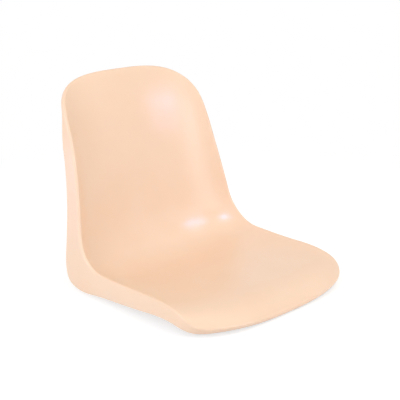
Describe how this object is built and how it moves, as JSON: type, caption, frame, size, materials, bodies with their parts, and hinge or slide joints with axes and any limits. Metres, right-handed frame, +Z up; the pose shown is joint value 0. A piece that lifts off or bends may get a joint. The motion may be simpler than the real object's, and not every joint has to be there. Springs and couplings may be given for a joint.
{
  "type": "plastic shell chair",
  "caption": "Moulded plastic chair shell: seat and back in one curved sheet with a rolled rim and side skirts, and threaded inserts in bosses under the seat for an underframe.",
  "frame": {"origin": "middle of the floor box: on the plane of the four boss ends, where an underframe bolts on, midway between the sides and between the front and rear edges", "axes": "+Z up, -Y the way the sitter faces, +X to the sitter's left"},
  "size_m": [0.4382, 0.4855, 0.3966],
  "materials": {
    "moulded_polypropylene": "peach polypropylene, injection moulded, satin",
    "turned_brass": "turned brass with a knurled outside"
  },
  "bodies": {
    "root": {"seat_shell": "moulded_polypropylene", "insert_front_left": "turned_brass", "insert_front_right": "turned_brass", "insert_rear_left": "turned_brass", "insert_rear_right": "turned_brass"}
  },
  "joints": []
}
